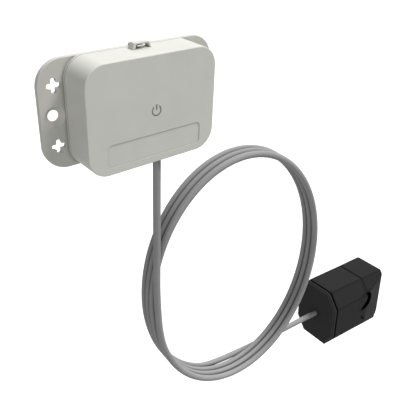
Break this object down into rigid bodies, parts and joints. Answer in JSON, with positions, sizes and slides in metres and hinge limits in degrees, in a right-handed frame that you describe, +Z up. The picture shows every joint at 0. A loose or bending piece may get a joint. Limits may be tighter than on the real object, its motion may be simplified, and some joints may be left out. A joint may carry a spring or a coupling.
{
  "type": "wireless current meter",
  "caption": "Wall-mounted wireless current meter: a small battery case on a screw-down plate, with a free lead laid in loops to a split-core current clamp.",
  "frame": {"origin": "centre of the wall plate's back face, on the wall", "axes": "+Y into the wall, +Z up, +X to the right of someone facing the case; the case looks along -Y"},
  "size_m": [0.2589, 0.0436, 0.2527],
  "materials": {
    "case_plastic": "fine matt moulded plastic",
    "plate_plastic": "fine matt moulded plastic",
    "seal_rubber": "soft matt rubber",
    "board_laminate": "satin lacquer over glass laminate",
    "steel": "plated steel",
    "shield_metal": "bright plated sheet",
    "chip_black": "matt moulded plastic",
    "antenna_ceramic": "fired ceramic",
    "capacitor_sleeve": "shrink sleeve",
    "holder_plastic": "matt moulded plastic",
    "cell_wrap": "plain shrink wrap",
    "header_plastic": "natural moulded plastic",
    "wire_insulation": "soft insulation",
    "gland_rubber": "matt rubber",
    "cord_jacket": "soft matt jacket",
    "clamp_plastic": "black moulded plastic, satin",
    "ferrite": "ground ferrite",
    "winding_copper": "enamelled wire",
    "bobbin_plastic": "natural moulded plastic"
  },
  "bodies": {
    "meter": {"back_plate": "plate_plastic", "case_front": "case_plastic", "seal_ring": "seal_rubber", "tact_switch": "chip_black", "circuit_board": "board_laminate", "board_screws": "steel", "radio_module": "shield_metal", "board_antenna": "antenna_ceramic", "board_chips": "chip_black", "board_capacitors": "capacitor_sleeve", "cell_holder": "holder_plastic", "battery_cell": "cell_wrap", "cell_spring": "steel", "cell_contact": "steel", "lead_header": "header_plastic", "lead_plug": "header_plastic", "lead_wires": "wire_insulation", "cord_gland": "gland_rubber", "cord_drop": "cord_jacket", "cord_coil": "cord_jacket", "cord_lead": "cord_jacket", "clamp_body": "clamp_plastic", "clamp_end_cap": "clamp_plastic", "clamp_hinge_pin": "steel", "clamp_core_fixed": "ferrite", "clamp_bobbin": "bobbin_plastic", "clamp_winding": "winding_copper", "burden_board": "board_laminate", "burden_parts": "chip_black", "clamp_collar": "gland_rubber", "clamp_wires": "wire_insulation"},
    "power_button": {"power_button": "case_plastic", "switch_plunger": "steel"},
    "latch_tongue": {"latch_tongue": "plate_plastic"},
    "clamp_jaw": {"clamp_jaw": "clamp_plastic", "clamp_core_moving": "ferrite", "clamp_core_spring": "steel"}
  },
  "joints": [
    {"name": "power_press", "type": "slide", "parent": "meter", "child": "power_button", "axis": [0, 1, 0], "range_m": [0, 0.0005], "stiffness_N_per_m": 2000, "springref_m": -0.0002},
    {"name": "latch_flex", "type": "hinge", "parent": "meter", "child": "latch_tongue", "pos_m": [0.0004, -0.00075, 0.0246], "axis": [1, 0, 0], "range_deg": [0, 5], "stiffness_Nm_per_rad": 0.08},
    {"name": "jaw_hinge", "type": "hinge", "parent": "meter", "child": "clamp_jaw", "pos_m": [0.18801, -0.02458, -0.22119], "axis": [0.0781, 0.994, -0.076], "range_deg": [0, 80]}
  ]
}
